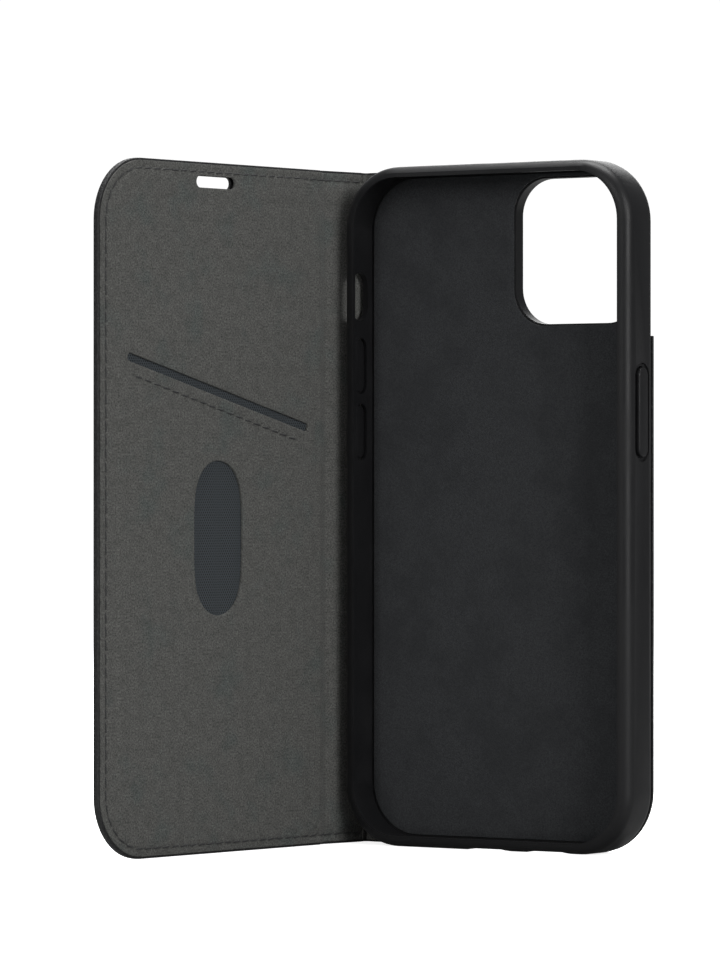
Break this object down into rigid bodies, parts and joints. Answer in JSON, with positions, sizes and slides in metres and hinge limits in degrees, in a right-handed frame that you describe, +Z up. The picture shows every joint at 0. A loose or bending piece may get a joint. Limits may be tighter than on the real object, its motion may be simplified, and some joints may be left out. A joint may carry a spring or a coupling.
{
  "type": "phone wallet case",
  "caption": "Book-style phone wallet case standing open: moulded phone shell with button covers, folding spine, and suede-lined cover with a sloped card slot and thumb window.",
  "frame": {"origin": "on the floor, under the middle of the footprint of the case as it stands open", "axes": "+Z up along the phone's height, +Y out of the shell's back, +X towards the side-button wall; the screen side faces -Y"},
  "size_m": [0.0772, 0.0798, 0.1343],
  "materials": {
    "shell": "soft matte moulded thermoplastic rubber, black",
    "leather": "black fine-grained coated leather",
    "suede": "dark grey brushed micro-suede",
    "mesh_fabric": "blue-grey woven mesh fabric",
    "microfibre": "dark grey short-pile microfibre",
    "board": "plain stiffener sheet",
    "bond": "double-sided bonding film",
    "thread": "black polyester sewing thread",
    "steel": "thin plated steel strip",
    "magnet": "nickel-plated flat magnet"
  },
  "bodies": {
    "case": {"shell": "shell", "shell_liner": "microfibre", "keeper_lower": "steel", "keeper_upper": "steel", "back_leather": "leather", "back_lining": "suede", "back_adhesive": "bond", "back_stitch": "thread"},
    "spine": {"spine_leather": "leather", "spine_stiffener": "board", "spine_lining": "suede", "spine_stitch_top": "thread", "spine_stitch_bottom": "thread"},
    "cover": {"cover_leather": "leather", "cover_board": "board", "pocket_mesh": "mesh_fabric", "cover_lining": "suede", "cover_magnet_lower": "magnet", "cover_magnet_upper": "magnet", "cover_stitch_inner": "thread", "cover_stitch_outer": "thread", "pocket_stitch": "thread"},
    "side_button": {"side_button": "shell"},
    "volume_up": {"volume_up_button": "shell"},
    "volume_down": {"volume_down_button": "shell"}
  },
  "joints": [
    {"name": "spine_fold", "type": "hinge", "parent": "case", "child": "spine", "pos_m": [-0.03015, 0.03932, 0], "axis": [0, 0, 1], "range_deg": [-169, 11]},
    {"name": "cover_fold", "type": "hinge", "parent": "spine", "child": "cover", "pos_m": [-0.03256, 0.02696, 0], "axis": [0, 0, 1], "range_deg": [-96, 84]},
    {"name": "side_button_press", "type": "slide", "parent": "case", "child": "side_button", "axis": [-1, 0, 0], "range_m": [0, 0.0003], "stiffness_N_per_m": 3000},
    {"name": "volume_up_press", "type": "slide", "parent": "case", "child": "volume_up", "axis": [1, 0, 0], "range_m": [0, 0.0003], "stiffness_N_per_m": 3000},
    {"name": "volume_down_press", "type": "slide", "parent": "case", "child": "volume_down", "axis": [1, 0, 0], "range_m": [0, 0.0003], "stiffness_N_per_m": 3000}
  ]
}
